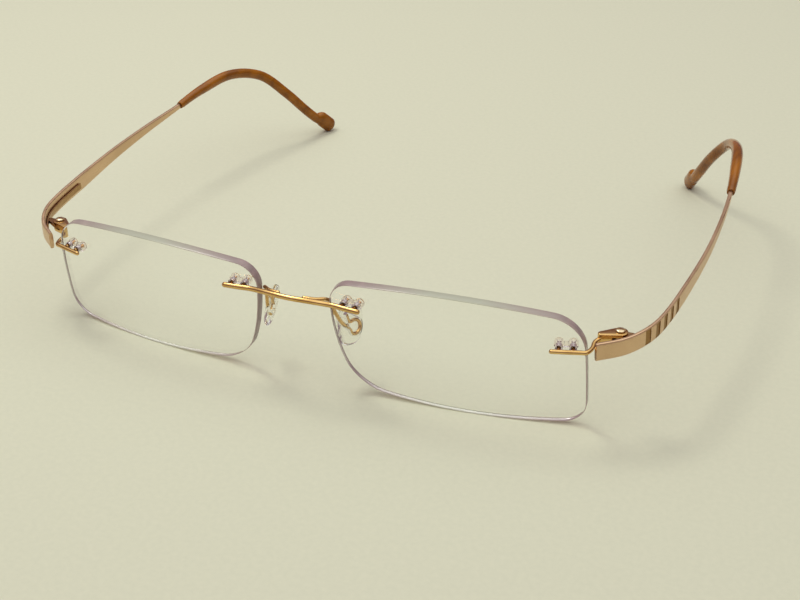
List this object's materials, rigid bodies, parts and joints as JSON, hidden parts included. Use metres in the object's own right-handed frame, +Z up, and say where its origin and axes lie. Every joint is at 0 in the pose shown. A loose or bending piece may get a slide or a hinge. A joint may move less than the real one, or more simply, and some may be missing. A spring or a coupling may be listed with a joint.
{
  "type": "rimless eyeglasses",
  "caption": "Rimless eyeglasses with clear rectangular lenses, gold wire bridge and bars, looped-wire clear nose pads, folding gold strip temples and amber tips.",
  "frame": {"origin": "on the table under the middle of the glasses' footprint, halfway between the front of the bridge and the temple tips", "axes": "+X to the wearer's left, +Y from the lenses back along the temples, +Z up from the table"},
  "size_m": [0.1448, 0.1284, 0.0271],
  "materials": {
    "polished_gold": "polished gold plating",
    "satin_gold": "satin gold with darker engraved bars",
    "screw_metal": "turned, bright",
    "clear_lens": "clear with coated faces and satin ground edges",
    "clear_bushing": "clear moulded plastic",
    "clear_silicone": "clear soft silicone",
    "amber_acetate": "glossy see-through amber brown"
  },
  "bodies": {
    "front": {"bridge": "polished_gold", "lens_left": "clear_lens", "endpiece_left": "polished_gold", "bushing_left_nasal": "clear_bushing", "lens_pin_left_nasal_inner": "polished_gold", "lens_pin_left_nasal_outer": "polished_gold", "bushing_left_temporal": "clear_bushing", "lens_pin_left_temporal_inner": "polished_gold", "lens_pin_left_temporal_outer": "polished_gold", "pad_arm_left": "polished_gold", "nose_pad_left": "clear_silicone", "hinge_screw_left": "screw_metal", "lens_right": "clear_lens", "endpiece_right": "polished_gold", "bushing_right_nasal": "clear_bushing", "lens_pin_right_nasal_inner": "polished_gold", "lens_pin_right_nasal_outer": "polished_gold", "bushing_right_temporal": "clear_bushing", "lens_pin_right_temporal_inner": "polished_gold", "lens_pin_right_temporal_outer": "polished_gold", "pad_arm_right": "polished_gold", "nose_pad_right": "clear_silicone", "hinge_screw_right": "screw_metal"},
    "temple_left_arm": {"temple_left": "satin_gold", "temple_hinge_left": "polished_gold", "temple_tip_left": "amber_acetate"},
    "temple_right_arm": {"temple_right": "satin_gold", "temple_hinge_right": "polished_gold", "temple_tip_right": "amber_acetate"}
  },
  "joints": [
    {"name": "temple_left_fold", "type": "hinge", "parent": "front", "child": "temple_left_arm", "pos_m": [0.0634, -0.04997, 0.01918], "axis": [0, 0, 1], "range_deg": [0, 85]},
    {"name": "temple_right_fold", "type": "hinge", "parent": "front", "child": "temple_right_arm", "pos_m": [-0.0634, -0.04997, 0.01918], "axis": [0, 0, -1], "range_deg": [0, 80]}
  ]
}
